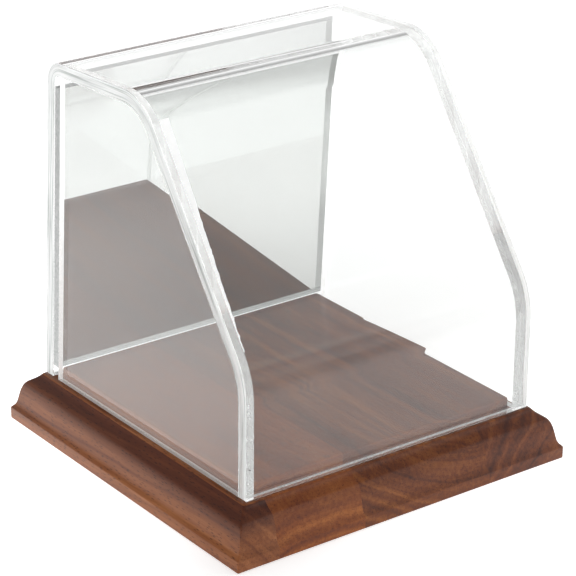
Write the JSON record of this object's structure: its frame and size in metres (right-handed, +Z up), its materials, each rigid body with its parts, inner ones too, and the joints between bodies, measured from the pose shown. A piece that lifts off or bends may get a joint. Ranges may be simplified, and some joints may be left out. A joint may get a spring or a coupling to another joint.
{
  "type": "museum display case",
  "caption": "Slant-front clear acrylic display cover with a mirror back, lifting off a moulded walnut base.",
  "frame": {"origin": "centre of the base's flat underside, on the surface it stands on", "axes": "+Z up, -Y towards the sloping front, +X to the right seen from the front"},
  "size_m": [0.1778, 0.1778, 0.1782],
  "materials": {
    "walnut": "satin lacquer",
    "clear_acrylic": "polished",
    "mirror": "polished"
  },
  "bodies": {
    "base": {"base_stave_1": "walnut", "base_stave_2": "walnut", "base_stave_3": "walnut", "base_stave_4": "walnut"},
    "cover": {"cover_wrap": "clear_acrylic", "side_panel_left": "clear_acrylic", "side_panel_right": "clear_acrylic", "mirror_panel": "mirror"}
  },
  "joints": [
    {"name": "cover_lift", "type": "slide", "parent": "base", "child": "cover", "axis": [0, 0, 1], "range_m": [0, 0.18]}
  ]
}
